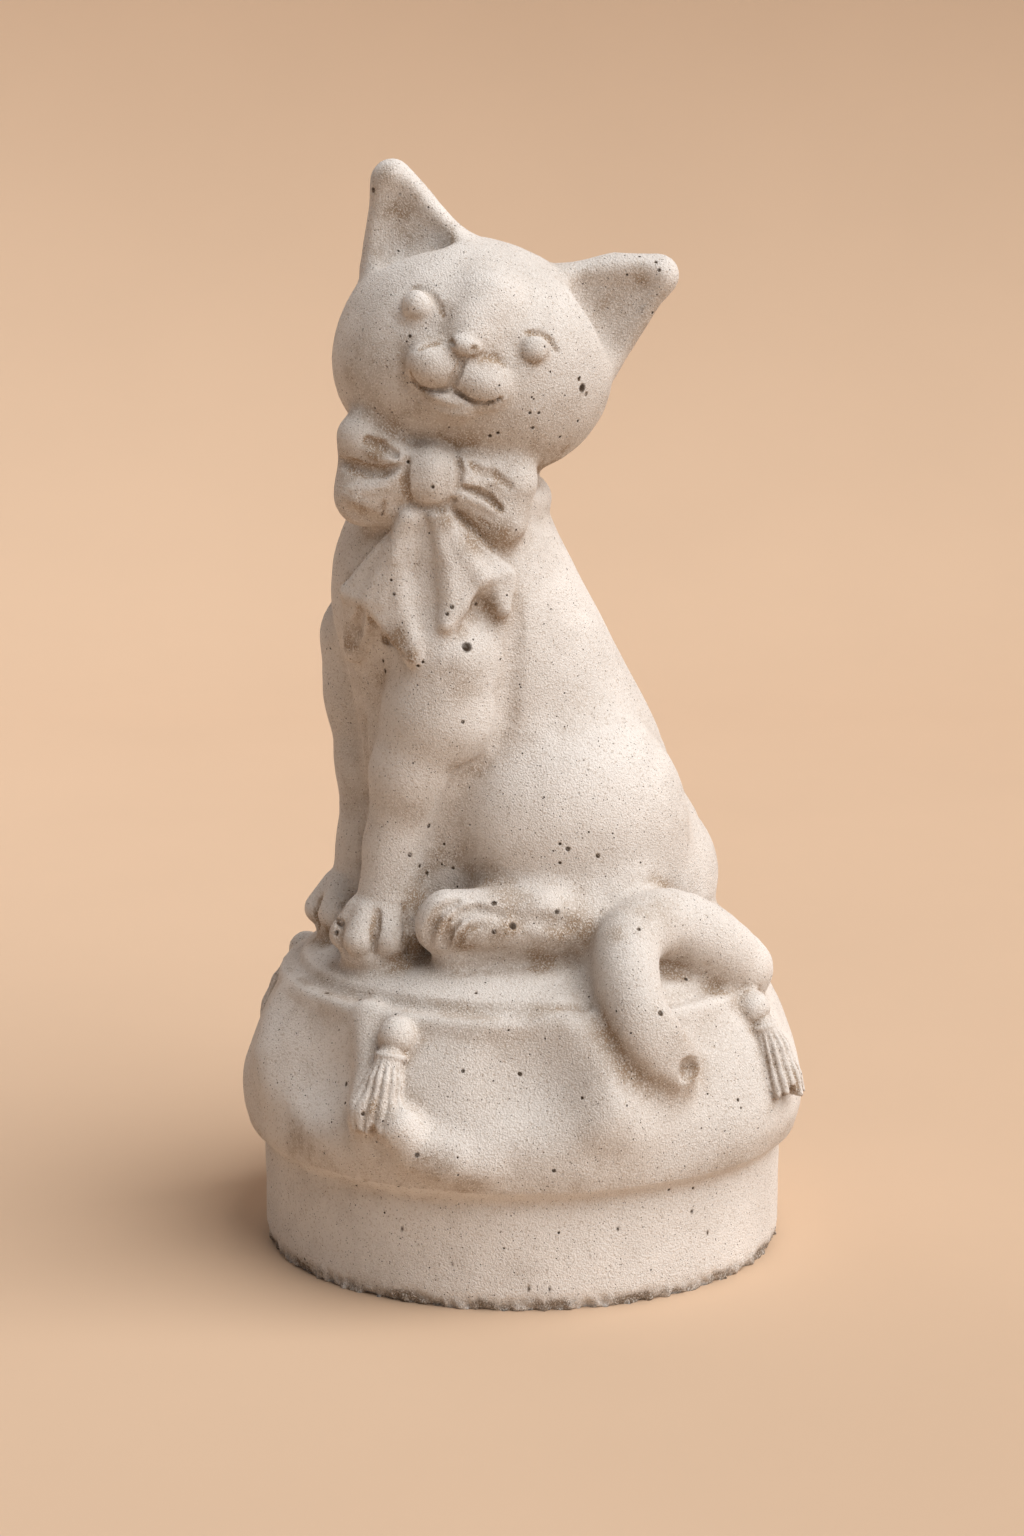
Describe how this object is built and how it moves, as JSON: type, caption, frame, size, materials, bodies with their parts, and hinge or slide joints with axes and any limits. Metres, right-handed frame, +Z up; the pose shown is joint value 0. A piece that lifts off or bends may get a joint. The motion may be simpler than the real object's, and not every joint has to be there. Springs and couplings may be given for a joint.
{
  "type": "garden statue",
  "caption": "Cast concrete cat with a ribbon bow, sitting with turned head on a round tasselled cushion and plain plinth.",
  "frame": {"origin": "middle of the plinth's flat underside", "axes": "+Z up, the cat's body faces -Y and its left side is +X"},
  "size_m": [0.2185, 0.2111, 0.4014],
  "materials": {
    "concrete": "matt"
  },
  "bodies": {
    "root": {"cat_statue": "concrete"}
  },
  "joints": []
}
